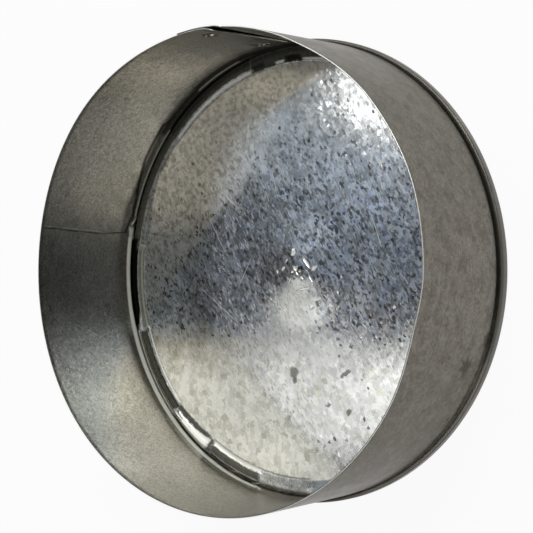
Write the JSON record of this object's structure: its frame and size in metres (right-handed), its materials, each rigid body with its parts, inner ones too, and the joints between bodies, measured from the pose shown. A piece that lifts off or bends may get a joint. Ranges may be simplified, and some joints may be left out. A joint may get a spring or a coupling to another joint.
{
  "type": "duct end cap",
  "caption": "Round sheet-steel cap that slips over a duct's end: a rolled collar with a clinched lap, closed by a pressed plate locked on with a rolled double seam.",
  "frame": {"origin": "centre of the seam's flat underside, on the cap's axis", "axes": "+Z along the cap's axis, out of the open mouth; +Y towards the lap of the collar"},
  "size_m": [0.2605, 0.2604, 0.0825],
  "materials": {
    "galvanised_sheet": "satin"
  },
  "bodies": {
    "root": {"collar": "galvanised_sheet", "end_plate": "galvanised_sheet"}
  },
  "joints": []
}
